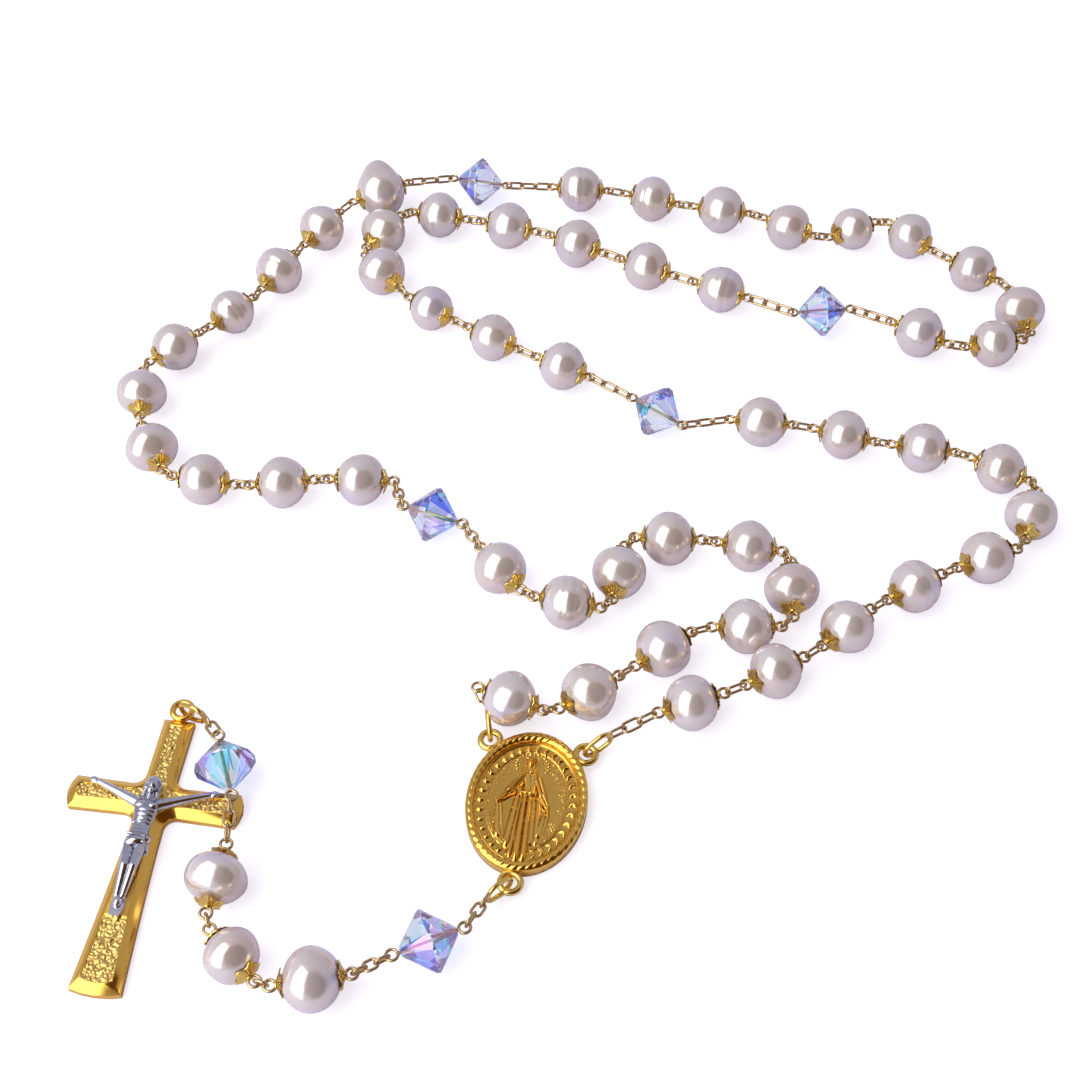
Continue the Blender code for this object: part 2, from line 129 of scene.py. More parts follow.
CRYSTALS = [
    [(26.5, 68), (17, 76)],
    [(46, 95.5), (58, 97)],
    [(-3, 129.5), (-15, 132.5)],
    [(-21, 52.5), (-9.5, 48)],
]
PENDANT_CRYSTALS = [
    [(-7.5, -20.5), (-18.5, -25)],
    [(-41.5, -1.5), (-45, 10)],
]
PENDANT_PEARLS = [(-23, -27), (-34.5, -28.5), (-42.5, -20.5), (-41.5, -7)]
SETTLE_SWEEPS = 400

# Neighbouring pearls that share one CAD node
PAIRED = (("pearl_2_04", "pearl_2_05"), ("pearl_3_05", "pearl_3_06"))


# ---------------------------------------------------------------- the chain's layout


def chain_beads():
    """List the beads of the loop and the pendant with the two points that each lies between."""
    widths = random.Random(7)
    beads = []

    def pearl(name, near, far):
        width = PEARL_WIDTH + widths.uniform(-PEARL_WIDTH_SPREAD, PEARL_WIDTH_SPREAD)
        width = ODD_PEARLS.get(name, width)
        length = width * PEARL_LENGTH_RATIO
        beads.append({"name": name, "crystal": False, "width": width, "length": length,
                      "tip": length / 2 + PEARL_TIP, "ends": (near, far)})

    def crystal(name, near, far):
        beads.append({"name": name, "crystal": True, "width": CRYSTAL_WIDTH,
                      "length": CRYSTAL_LENGTH, "tip": CRYSTAL_LENGTH / 2 + CRYSTAL_TIP,
                      "ends": (near, far)})

    point = 0
    for decade in range(len(DECADES)):
        for place in range(len(DECADES[decade]) - 1):
            pearl(f"pearl_{decade + 1}_{place + 1:02d}", point, point + 1)
            point += 1
        point += 1
        if decade < len(CRYSTALS):
            crystal(f"crystal_{decade + 1}", point, point + 1)
            point += 2
    crystal("pendant_crystal_1", point, point + 1)
    point += 2
    for place in range(len(PENDANT_PEARLS) - 1):
        pearl(f"pendant_pearl_{place + 1}", point, point + 1)
        point += 1
    crystal("pendant_crystal_2", point + 1, point + 2)
    return beads


def chain_points():
    """Return the route's points in the order that chain_beads counts them in."""
    rows = []
    for decade, row in enumerate(DECADES):
        rows += row
        if decade < len(CRYSTALS):
            rows += CRYSTALS[decade]
    rows += PENDANT_CRYSTALS[0] + PENDANT_PEARLS + PENDANT_CRYSTALS[1]
    return [Vector(point) for point in rows]


def turned_place(place, turn):
    """Turn an (x, y) place about the origin."""
    return Matrix.Rotation(turn, 2) @ Vector(place)


def ring_ends():
    """Return each jump ring's two ends, in its eyelet and at the chain."""
    eyelets = {side: (*turned_place(place, MEDAL_TURN), MEDAL_EYELET_HEIGHT)
               for side, place in MEDAL_EYELETS.items()}
    eyelets["crucifix"] = (*CRUCIFIX_EYELET, CRUCIFIX_EYELET_HEIGHT)
    ends = {}
    for side, place in eyelets.items():
        heading = math.radians(RING_HEADINGS[side])
        level = RING_LENGTH * math.cos(RING_RISE)
        step = Vector((level * math.cos(heading), level * math.sin(heading),
                       RING_LENGTH * math.sin(RING_RISE)))
        ends[side] = (Vector(place), Vector(place) + step)
    return ends


def span_limits(beads, points, rings):
    """List the least and greatest distance between points that the wire allows.

    A fixed place stands in for a point where a run of links ends at a jump ring.
    """
    limits = []
    for bead in beads:
        near, far = bead["ends"]
        tips = 2 * bead["tip"]
        slack = (0, 0.1) if bead["crystal"] else SLACK
        limits.append((near, far, tips + slack[0], tips + slack[1]))
    for first, second in zip(beads, beads[1:]):
        far, near = first["ends"][1], second["ends"][0]
        if second["name"] == "pendant_crystal_1":
            continue
        if far != near:
            limits.append((far, near, *RUN_OF_3))
        elif not first["crystal"]:
            limits.append((first["ends"][0], second["ends"][1], SHARPEST_FOLD, math.inf))
    loop_end, pendant_start = (next(bead["ends"] for bead in beads if bead["name"] == name)
                               for name in ("pearl_5_10", "pendant_crystal_1"))
    fixed = {"right": (0, RUN_OF_3), "left": (loop_end[1], RUN_OF_2),
             "bottom": (pendant_start[0], RUN_OF_3), "crucifix": (len(points) - 1, RUN_OF_2)}
    for side, (point, run) in fixed.items():
        limits.append((rings[side][1].xy, point, *run))
    return limits


def settle(beads, points, rings):
    """Move the points as little as it takes for every length to be real and no beads to touch."""
    limits = span_limits(beads, points, rings)
    for _ in range(SETTLE_SWEEPS):
        for first, second, least, most in limits:
            fixed = not isinstance(first, int)
            start = first if fixed else points[first]
            along = points[second] - start
            wanted = min(max(along.length, least), most)
            step = along * (wanted / along.length - 1)
            if fixed:
                points[second] += step
            else:
                points[first] -= step / 2
                points[second] += step / 2
        for place, bead in enumerate(beads):
            for other in beads[place + 1:]:
                apart = (bead["width"] + other["width"]) / 2 + BEAD_GAP
                part_beads(bead, other, 0, 0, apart, points)
        for bead, other in zip(beads, beads[1:]):
            apart = 2 * (EYE_RADIUS + WIRE_RADIUS) + EYE_GAP
            reach, other_reach = bead["tip"] - EYE_RADIUS, EYE_RADIUS - other["tip"]
            part_beads(bead, other, reach, other_reach, apart, points)


def part_beads(bead, other, reach, other_reach, apart, points):
    """Push two beads apart where their axes, followed by each one's reach, come too close."""
    between = on_axis(other, other_reach, points) - on_axis(bead, reach, points)
    if between.length < apart:
        step = between * (apart / between.length - 1) / 2
        for point in bead["ends"]:
            points[point] -= step
        for point in other["ends"]:
            points[point] += step


def on_axis(bead, reach, points):
    """The place on a bead's axis at a reach from its middle."""
    near, far = bead["ends"]
    along = (points[far] - points[near]).normalized()
    return (points[near] + points[far]) / 2 + along * reach


def place_beads():
    """Give every bead its centre, its direction and the centres of its two eyes."""
    beads, points, rings = chain_beads(), chain_points(), ring_ends()
    settle(beads, points, rings)
    for bead in beads:
        near, far = bead["ends"]
        bead["centre"] = on_axis(bead, 0, points).to_3d()
        bead["centre"].z = bead["width"] / 2
        bead["along"] = (points[far] - points[near]).normalized().to_3d()
        reach = bead["along"] * (bead["tip"] - EYE_RADIUS)
        bead["near_eye"] = bead["centre"] - reach
        bead["far_eye"] = bead["centre"] + reach
    return beads, rings


# ---------------------------------------------------------------- pieces


def make_piece(name, points, faces, material, body, node, slot, sharp=40):
    """Turn millimetre points into a named piece that rides on a body for a CAD node."""
    mesh = bpy.data.meshes.new(name)
    mesh.from_pydata([tuple(point) for point in points], [], faces)
    mesh.transform(Matrix.Scale(MM, 4))
    return finish_piece(name, mesh, material, body, node, sharp)


def finish_piece(name, mesh, material, body, node, sharp=40):
    """Give a mesh its normals, shading and material, attach it to its body and hide its CAD node.
    """
    shape = bmesh.new()
    shape.from_mesh(mesh)
    bmesh.ops.recalc_face_normals(shape, faces=shape.faces)
    shape.to_mesh(mesh)
    shape.free()
    mesh.materials.clear()
    mesh.materials.append(material)
    mesh.shade_smooth()
    mesh.set_sharp_from_angle(angle=math.radians(sharp))
    piece = bpy.data.objects.new(name, mesh)
    bpy.context.scene.collection.objects.link(piece)
    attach(piece, body)
    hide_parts(node)
    return piece


def stand_along(centre, along, roll=0.0):
    """The matrix that stands +X along a direction and turns the shape about it."""
    side = Vector((0, 0, 1)).cross(along).normalized()
    up = along.cross(side)
    turn = Matrix((along, side, up)).transposed().to_4x4()
    return Matrix.Translation(centre) @ turn @ Matrix.Rotation(roll, 4, "X")


def lattice(rows, columns, closed_rows=False, closed_columns=True):
    """Quads over a grid of points that is stored row by row."""
    faces = []
    for i in range(rows if closed_rows else rows - 1):
        for j in range(columns if closed_columns else columns - 1):
            a, b = i * columns, (i + 1) % rows * columns
            k = (j + 1) % columns
            faces.append((a + j, a + k, b + k, b + j))
    return faces


def tube(path, radius, closed, sides=10):
    """A round wire along a flat path in the XY plane."""
    points = []
    count = len(path)
    for i, place in enumerate(path):
        before = path[i - 1] if closed or i else place
        after = path[(i + 1) % count] if closed or i < count - 1 else place
        tangent = (after - before).normalized()
        side = Vector((-tangent.y, tangent.x, 0))
        for j in range(sides):
            angle = 2 * math.pi * j / sides
            points.append(place + side * radius * math.cos(angle)
                          + Vector((0, 0, radius * math.sin(angle))))
    faces = lattice(count, sides, closed_rows=closed)
    if not closed:
        faces.append(tuple(range(sides)))
        faces.append(tuple((count - 1) * sides + j for j in range(sides)))
    return points, faces


def placed(shape, stand):
    points, faces = shape
    return [stand @ point for point in points], faces


def joined(shapes):
    """Several shapes as one list of points and faces."""
    points, faces = [], []
    for more_points, more_faces in shapes:
        start = len(points)
        points += more_points
        faces += [tuple(start + i for i in face) for face in more_faces]
    return points, faces


def oval_path(length, half_width, segments=40):
    """The centreline of an oval link: two half circles joined by straight sides."""
    straight = max(length / 2 - half_width, 0)
    path = []
    for i in range(segments):
        angle = 2 * math.pi * i / segments
        place = Vector((math.cos(angle), math.sin(angle), 0)) * half_width
        place.x += math.copysign(straight, place.x)
        path.append(place)
    return path


# ---------------------------------------------------------------- materials


def new_material(name):
    material = bpy.data.materials.new(name)
    material.use_nodes = True
    tree = material.node_tree
    return material, tree, tree.nodes["Principled BSDF"]


def add_node(tree, kind, **values):
    """Add a node, with its properties and its inputs given by name."""
    node = tree.nodes.new(kind)
    for key, value in values.items():
        if key in node.inputs:
            node.inputs[key].default_value = value
        else:
            setattr(node, key, value)
    return node


def add_ramp(tree, factor, stops):
    ramp = tree.nodes.new("ShaderNodeValToRGB")
    elements = ramp.color_ramp.elements
    while len(elements) < len(stops):
        elements.new(0.5)
    for element, (place, color) in zip(elements, stops):
        element.position = place
        element.color = (*color, 1.0)
    tree.links.new(factor, ramp.inputs["Fac"])
    return ramp.outputs["Color"]


def add_noise(tree, scale, detail=2.0, rough=0.5):
    where = tree.nodes.new("ShaderNodeTexCoord")
    grain = add_node(tree, "ShaderNodeTexNoise", Scale=scale, Detail=detail, Roughness=rough)
    tree.links.new(where.outputs["Object"], grain.inputs["Vector"])
    return grain.outputs["Fac"]


def add_bump(tree, shader, height, distance, strength):
    bump = add_node(tree, "ShaderNodeBump", Strength=strength, Distance=distance)
    tree.links.new(height, bump.inputs["Height"])
    tree.links.new(bump.outputs["Normal"], shader.inputs["Normal"])


def pearl_material():
    """Nacre: cream with pink and lavender clouds, a soft metallic glow and a clear coat."""
    material, tree, shader = new_material("nacre")
    clouds = add_noise(tree, 150, 2.5)
    color = add_ramp(tree, clouds, NACRE)
    tree.links.new(color, shader.inputs["Base Color"])
    satin = tree.nodes.new("ShaderNodeMapRange")
    satin.inputs["To Min"].default_value = 0.13
    satin.inputs["To Max"].default_value = 0.26
    tree.links.new(add_noise(tree, 900, 3.0), satin.inputs["Value"])
    tree.links.new(satin.outputs["Result"], shader.inputs["Roughness"])
    shader.inputs["Metallic"].default_value = 0.5
    shader.inputs["Coat Weight"].default_value = 0.4
    shader.inputs["Coat Roughness"].default_value = 0.08
    shader.inputs["Sheen Weight"].default_value = 0.25
    shader.inputs["Sheen Tint"].default_value = (0.80, 0.70, 1.0, 1.0)
    add_bump(tree, shader, add_noise(tree, 420, 2.0), 0.0002, 0.25)
    return material


def crystal_material():
    """Clear glass with an aurora coat: most facets pale, some cyan, blue, violet or pink."""
    material, tree, shader = new_material("aurora_glass")
    where = tree.nodes.new("ShaderNodeTexCoord")
    facet = tree.nodes.new("ShaderNodeTexWhiteNoise")
    coarse = add_node(tree, "ShaderNodeVectorMath", operation="SNAP")
    coarse.inputs[1].default_value = (0.05, 0.05, 0.05)
    tree.links.new(where.outputs["Normal"], coarse.inputs[0])
    tree.links.new(coarse.outputs["Vector"], facet.inputs["Vector"])
    color = add_ramp(tree, facet.outputs["Value"], AURORA)
    tree.links.new(color, shader.inputs["Base Color"])
    shader.inputs["Roughness"].default_value = 0.02
    shader.inputs["IOR"].default_value = 1.54
    shader.inputs["Transmission Weight"].default_value = 0.82
    shader.inputs["Thin Film Thickness"].default_value = 420
    shader.inputs["Thin Film IOR"].default_value = 2.0
    return material


def metal_material(name, light, dark, roughness, grain, depth, recess=0.44):
    """Cast and polished metal, darker in its recesses than on its edges: painted shade and painted
    reflection on the gold, patina on the old silver.
    """
    material, tree, shader = new_material(name)
    # Pointiness darkens the recesses, mixed with random clouds: painted shade and painted
    # reflection on the gold, the patina on the silver.
    edges = tree.nodes.new("ShaderNodeNewGeometry")
    spread = add_node(tree, "ShaderNodeMapRange")
    spread.inputs["From Min"].default_value = recess
    spread.inputs["From Max"].default_value = 0.53
    tree.links.new(edges.outputs["Pointiness"], spread.inputs["Value"])
    clouds = tree.nodes.new("ShaderNodeMix")
    clouds.inputs[0].default_value = 0.3
    tree.links.new(spread.outputs["Result"], clouds.inputs[2])
    tree.links.new(add_noise(tree, 260, 3.0), clouds.inputs[3])
    color = add_ramp(tree, clouds.outputs[0], ((0.0, dark), (0.75, light)))
    tree.links.new(color, shader.inputs["Base Color"])
    wear = tree.nodes.new("ShaderNodeMapRange")
    wear.inputs["To Min"].default_value = roughness * 0.7
    wear.inputs["To Max"].default_value = roughness * 1.5
    tree.links.new(add_noise(tree, 1500, 4.0), wear.inputs["Value"])
    tree.links.new(wear.outputs["Result"], shader.inputs["Roughness"])
    shader.inputs["Metallic"].default_value = 1.0
    add_bump(tree, shader, add_noise(tree, grain, 3.0), depth, 0.35)
    return material


NACRE = ((0.30, (0.86, 0.70, 0.62)), (0.46, (0.90, 0.79, 0.69)), (0.60, (0.91, 0.81, 0.76)),
         (0.74, (0.82, 0.73, 0.80)))
AURORA = ((0.0, (0.97, 0.98, 1.0)), (0.36, (0.84, 0.92, 1.0)), (0.48, (0.02, 0.78, 1.0)),
          (0.60, (0.0, 0.10, 0.92)), (0.72, (0.50, 0.42, 1.0)), (0.84, (1.0, 0.74, 0.86)),
          (1.0, (0.95, 0.98, 1.0)))

nacre = pearl_material()
glass = crystal_material()
# The second colour of each gold is painted shade and painted reflection in its recesses; that of
# the old silver is its patina.
wire_gold = metal_material("wire_gold", (0.66, 0.48, 0.24), (0.26, 0.13, 0.05), 0.22, 700, 0.00004)
cap_gold = metal_material("cap_gold", (0.90, 0.64, 0.17), (0.34, 0.16, 0.02), 0.18, 900, 0.00004)
cast_gold = metal_material("cast_gold", (0.94, 0.58, 0.11), (0.38, 0.13, 0.01), 0.15, 500, 0.00002)
pebbled_gold = metal_material("pebbled_gold", (0.95, 0.66, 0.20), (0.42, 0.19, 0.03), 0.3, 2200,
                              0.00005)
silver = metal_material("old_silver", (0.74, 0.75, 0.80), (0.05, 0.05, 0.09), 0.14, 600, 0.00003,
                        0.475)


# ---------------------------------------------------------------- beads

GROOVES = {"pearl_1_04": 2, "pearl_2_10": 2, "pearl_3_10": 2, "pearl_3_09": 1, "pearl_5_02": 2,
           "pearl_4_03": 1, "pearl_4_04": 2}
POINTED = {"pearl_4_01": (Vector((-0.15, 0.79, 0.61)), 0.3)}
SQUASHED = {"pendant_pearl_3": (1.08, 0.86), "pearl_1_10": (1.0, 1.06), "pearl_2_10": (0.98, 1.06)}
PEARL_ROWS = 40
PEARL_COLUMNS = 56
LUMPS = 0.035


def pearl_shape(bead):
    """A near-round freshwater pearl with lumps of its own, and growth rings on some."""
    wider, longer = SQUASHED.get(bead["name"], (1.0, 1.0))
    radius, half = bead["width"] / 2 * wider, bead["length"] / 2 * longer
    stand = stand_along(bead["centre"], bead["along"])
    shift = bead["centre"] * 0.37
    points = []
    for i in range(PEARL_ROWS + 1):
        polar = math.pi * i / PEARL_ROWS
        for j in range(PEARL_COLUMNS):
            around = 2 * math.pi * j / PEARL_COLUMNS
            ray = Vector((math.cos(polar), math.sin(polar) * math.cos(around),
                          math.sin(polar) * math.sin(around)))
            swell = 1 + LUMPS * noise.noise(ray * 0.9 + shift) * 2
            for ring in range(GROOVES.get(bead["name"], 0)):
                offset = (ray.x - 0.34 + 0.42 * ring + 0.05 * ray.y) / 0.06
                swell -= 0.028 * math.exp(-offset * offset)
            if bead["name"] in POINTED:
                toward, amount = POINTED[bead["name"]]
                facing = max((stand.to_3x3() @ ray).dot(toward.normalized()), 0)
                swell += amount * facing ** 6
            points.append(Vector((ray.x * half, ray.y * radius, ray.z * radius)) * swell)
    points = [stand @ point for point in points]
    for point in points:  # lumps stop at the table
        point.z = max(point.z, 0)
    return points, lattice(PEARL_ROWS + 1, PEARL_COLUMNS)


CAP_PETALS = 5
CAP_ROWS = 9
CAP_COLUMNS = 60
CAP_THICKNESS = 0.13
CAP_MOUTH = 0.42
COLLAR_WIRE_RADIUS = 0.17


def cap_shape(bead, end):
    """A scalloped cup of five ribbed petals with a collar, standing just off the pearl."""
    radius, half = bead["width"] / 2, bead["length"] / 2
    turn = 0.7 * end + bead["centre"].x
    layers = []
    for lift in (CAP_THICKNESS, 0.0):
        points = []
        for i in range(CAP_ROWS):
            share = i / (CAP_ROWS - 1)
            for j in range(CAP_COLUMNS):
                around = 2 * math.pi * j / CAP_COLUMNS
                petal = math.cos(CAP_PETALS * around)
                reach = CAP_MOUTH + share * (1.48 + 0.26 * petal)
                wave = 0.06 * share * math.cos(3 * CAP_PETALS * around)
                curl = 0.16 * share ** 4
                level = half * math.sqrt(max(1 - (reach / radius) ** 2, 0)) + 0.06
                level += 0.42 * (1 - share) ** 1.4
                points.append(Vector((level + lift + wave + curl,
                                      reach * math.cos(around + turn),
                                      reach * math.sin(around + turn))))
        layers.append(points)
    count = CAP_ROWS * CAP_COLUMNS
    faces = lattice(CAP_ROWS, CAP_COLUMNS)
    faces += [tuple(count + i for i in reversed(face)) for face in lattice(CAP_ROWS, CAP_COLUMNS)]
    for row in (0, CAP_ROWS - 1):
        for j in range(CAP_COLUMNS):
            a, b = row * CAP_COLUMNS + j, row * CAP_COLUMNS + (j + 1) % CAP_COLUMNS
            faces.append((a, b, count + b, count + a))
    collar = tube(oval_path(0.96, 0.48, 24), COLLAR_WIRE_RADIUS, True, 8)
    upright = Matrix.Rotation(math.pi / 2, 4, "Y")
    collar = placed(collar, Matrix.Translation((half + 0.56, 0, 0)) @ upright)
    whole = joined([(layers[0] + layers[1], faces), collar])
    facing = Matrix.Identity(4) if end else Matrix.Rotation(math.pi, 4, "Z")
    return placed(whole, stand_along(bead["centre"], bead["along"]) @ facing)


def pin_shape(bead):
    """One wire through the bead, turned into a round eye at both ends."""
    eye_at = bead["tip"] - EYE_RADIUS
    start = Vector((eye_at - EYE_RADIUS - 0.55, 0, 0))
    join_angle = math.radians(120)
    arrive = Vector((eye_at + EYE_RADIUS * math.cos(join_angle),
                     EYE_RADIUS * math.sin(join_angle), 0))
    heading = Vector((math.sin(join_angle), -math.cos(join_angle), 0))
    handles = (start, start + Vector((0.5, 0, 0)), arrive - heading * 0.38, arrive)
    half = []
    for i in range(8):
        t = i / 8
        weights = ((1 - t) ** 3, 3 * t * (1 - t) ** 2, 3 * t * t * (1 - t), t ** 3)
        half.append(sum((h * w for h, w in zip(handles, weights)), Vector()))
    for i in range(27):
        angle = join_angle - math.radians(310) * i / 26
        half.append(Vector((eye_at + EYE_RADIUS * math.cos(angle),
                            EYE_RADIUS * math.sin(angle), 0)))
    back = [Vector((-p.x, -p.y, 0)) for p in reversed(half)]
    shape = tube(back + half, WIRE_RADIUS, False)
    return placed(shape, stand_along(bead["centre"], bead["along"], EYE_ROLL))


FACETS = 12
BELT = 0.22
TABLE_RADIUS = 0.62
SHOULDER_RADIUS = 0.95


def crystal_shape(bead):
    """A faceted double cone: kite facets from the hole's rim to a zigzag belt."""
    half, radius = bead["length"] / 2, bead["width"] / 2
    points, faces = [], []
    rows = ((half, TABLE_RADIUS, 0.5), (half * 0.93, SHOULDER_RADIUS, 0), (BELT, radius, 0.5),
            (-BELT, radius, 0), (-half * 0.93, SHOULDER_RADIUS, 0.5), (-half, TABLE_RADIUS, 0))
    for along, around_radius, phase in rows:
        for j in range(FACETS):
            around = 2 * math.pi * (j + phase) / FACETS
            points.append(Vector((along, around_radius * math.cos(around),
                                  around_radius * math.sin(around))))
    for row in range(len(rows) - 1):
        ahead = rows[row][2] < rows[row + 1][2]
        for j in range(FACETS):
            a, k = row * FACETS + j, row * FACETS + (j + 1) % FACETS
            b, m = a + FACETS, k + FACETS
            faces += [(a, k, b), (k, m, b)] if ahead else [(a, k, m), (a, m, b)]
    faces.append(tuple(range(FACETS)))
    faces.append(tuple(range((len(rows) - 1) * FACETS, len(rows) * FACETS)))
    return placed((points, faces), stand_along(bead["centre"], bead["along"], bead["centre"].x))


# ---------------------------------------------------------------- links and rings

HOOK = 2 * WIRE_RADIUS


def link_shapes(start, end, count):
    """Oval links on a line, turned in alternation, each hooked through the next."""
    along = (end - start).normalized()
    length = ((end - start).length + (count - 1) * HOOK) / count
    shapes = []
    for place in range(count):
        centre = start + along * (length / 2 + place * (length - HOOK))
        path = oval_path(length, min(LINK_HALF_WIDTH, length / 2))
        stand = stand_along(centre, along, ROLLS[place % 2])
        shapes.append(placed(tube(path, WIRE_RADIUS, True), stand))
    return shapes


def ring_shape(ends):
    """A thicker oval ring between the two places in ends."""
    inner, outer = ends
    along = (outer - inner).normalized()
    shape = tube(oval_path(RING_LENGTH, RING_HALF_WIDTH, 56), RING_WIRE_RADIUS, True, 14)
    return placed(shape, stand_along((inner + outer) / 2, along, math.pi / 2))


def node_names(beads):
    """Name the CAD node of each bead: a touching pair shares one."""
    names = {bead["name"]: bead["name"] for bead in beads}
    for first, second in PAIRED:
        names[first] = names[second] = f"{first}_{second[-2:]}"
    return names


def add_links(bead, node, start, end, count, first=1):
    """Make a run of links named after the bead and riding on its node, numbered from first."""
    for place, (points, faces) in enumerate(link_shapes(start, end, count)):
        name = f"{bead['name']}_link_{first + place}"
        make_piece(name, points, faces, wire_gold, node, node, "gold")


def add_chain():
    """Every bead with its pin and caps, and the links and rings that it carries."""
    beads, rings = place_beads()
    names = node_names(beads)
    inset = EYE_RADIUS - HOOK
    for place, bead in enumerate(beads):
        name, node = bead["name"], names[bead["name"]]
        if bead["crystal"]:
            make_piece(f"{name}_glass", *crystal_shape(bead), glass, node, node, "crystal", 5)
        else:
            make_piece(f"{name}_bead", *pearl_shape(bead), nacre, node, node, "pearl", 80)
            for end in (0, 1):
                cap = cap_shape(bead, end)
                make_piece(f"{name}_cap_{end + 1}", *cap, cap_gold, node, node, "gold")
        make_piece(f"{name}_pin", *pin_shape(bead), wire_gold, node, node, "gold")
        if name in ("pearl_1_01", "pendant_crystal_1"):
            side = "right" if name == "pearl_1_01" else "bottom"
            along = (bead["near_eye"] - rings[side][1]).normalized()
            add_links(bead, node, rings[side][1] - along * HOOK,
                      bead["near_eye"] - along * inset, 3, 4)
            make_piece(f"ring_{side}", *ring_shape(rings[side]), cap_gold, node, node, "gold")
        if name in ("pearl_5_10", "pendant_crystal_2"):
            side = "left" if name == "pearl_5_10" else "crucifix"
            along = (bead["far_eye"] - rings[side][1]).normalized()
            add_links(bead, node, rings[side][1] - along * HOOK,
                      bead["far_eye"] - along * inset, 2)
            make_piece(f"ring_{side}", *ring_shape(rings[side]), cap_gold, node, node, "gold")
            continue
        follower = beads[place + 1]
        along = (follower["near_eye"] - bead["far_eye"]).normalized()
        closed = node == names[follower["name"]]
        end = follower["near_eye"] - along * (inset if closed else 0)
        count = 3 if bead["crystal"] or follower["crystal"] else 1
        add_links(bead, node, bead["far_eye"] + along * inset, end, count)


# ---------------------------------------------------------------- medal

GRID_STEP = 0.075
RIM_START = 0.855


def dome(u, v, start, end, radii, lift):
    """Height of a rounded limb between two places, over grids of places."""
    (au, av), (bu, bv) = start, end
    run_u, run_v = bu - au, bv - av
    share = ((u - au) * run_u + (v - av) * run_v) / max(run_u ** 2 + run_v ** 2, 1e-9)
    share = np.clip(share, 0, 1)
    radius = radii[0] + (radii[1] - radii[0]) * share
    gap = np.hypot(u - au - run_u * share, v - av - run_v * share)
    return lift * np.sqrt(np.clip(1 - (gap / radius) ** 2, 0, 1))


def folds(u, v, start, end, radii, lift, count, depth):
    """A limb of cloth with folds that run along it."""
    body = dome(u, v, start, end, radii, lift)
    (au, av), (bu, bv) = start, end
    length = math.hypot(bu - au, bv - av)
    across = ((u - au) * (bv - av) - (v - av) * (bu - au)) / length
    share = np.clip(((u - au) * (bu - au) + (v - av) * (bv - av)) / length ** 2, 0, 1)
    wide = radii[0] + (radii[1] - radii[0]) * share
    ripple = np.abs(np.sin(across / wide * count * math.pi / 2 + share * 0.8))
    return body * (1 - depth * (1 - ripple))


def figure_relief(u, v):
    """A standing robed figure with lowered open hands, on a globe, in low relief."""
    parts = [
        dome(u, v, (0.2, -10.2), (0.2, -10.2), (2.9, 2.9), 0.55),
        folds(u, v, (-0.9, 3.3), (-1.5, -6.6), (0.9, 1.2), 0.5, 2, 0.5),
        folds(u, v, (1.0, 3.0), (1.7, -6.0), (0.9, 1.1), 0.5, 2, 0.5),
        folds(u, v, (-3.9, -0.9), (-3.1, -5.6), (0.5, 0.75), 0.5, 1, 0.55),
        folds(u, v, (3.1, -1.7), (2.6, -5.0), (0.5, 0.7), 0.5, 1, 0.55),
        folds(u, v, (0.0, 1.2), (0.2, -8.4), (1.1, 1.75), 0.95, 3, 0.42),
        folds(u, v, (-0.1, 3.8), (0.0, 1.4), (1.2, 0.95), 0.9, 2, 0.25),
        dome(u, v, (-1.0, 1.1), (1.0, 1.1), (0.28, 0.28), 0.95),
        folds(u, v, (-1.0, 3.9), (-2.6, 1.4), (0.75, 0.85), 0.8, 2, 0.4),
        folds(u, v, (-2.4, 1.5), (-3.5, 0.1), (0.75, 0.5), 0.7, 2, 0.4),
        folds(u, v, (0.9, 3.8), (1.9, 1.2), (0.75, 0.8), 0.8, 2, 0.4),
        folds(u, v, (1.9, 1.2), (2.9, -0.6), (0.75, 0.5), 0.7, 2, 0.4),
        dome(u, v, (-3.6, 0.0), (-4.2, -0.7), (0.34, 0.18), 0.7),
        dome(u, v, (3.0, -0.7), (3.3, -1.6), (0.34, 0.18), 0.7),
        folds(u, v, (-0.35, 6.3), (-0.35, 4.4), (1.05, 1.25), 0.62, 3, 0.35),
        dome(u, v, (-0.4, 6.45), (-0.4, 5.9), (0.62, 0.5), 1.0),
        dome(u, v, (-0.4, 6.25), (-0.4, 5.98), (0.08, 0.13), 1.1),
        dome(u, v, (-0.35, 5.2), (-0.2, 4.6), (0.4, 0.5), 0.8),
    ]
    relief = np.maximum.reduce(parts)
    for eye in (-0.63, -0.17):
        relief -= dome(u, v, (eye - 0.07, 6.27), (eye + 0.07, 6.27), (0.1, 0.1), 0.09)
    return relief - dome(u, v, (-0.48, 5.72), (-0.32, 5.72), (0.06, 0.06), 0.07)


def grain(shape, passes):
    """Smooth random bumps from 0 to 1, a few grid steps wide."""
    bumps = np.random.default_rng(5).random(shape)
    for _ in range(passes):
        near = [np.roll(bumps, step, axis) for step in (-1, 1) for axis in (0, 1)]
        bumps = (bumps + sum(near)) / 5
    low, high = bumps.min(), bumps.max()
    return (bumps - low) / (high - low)


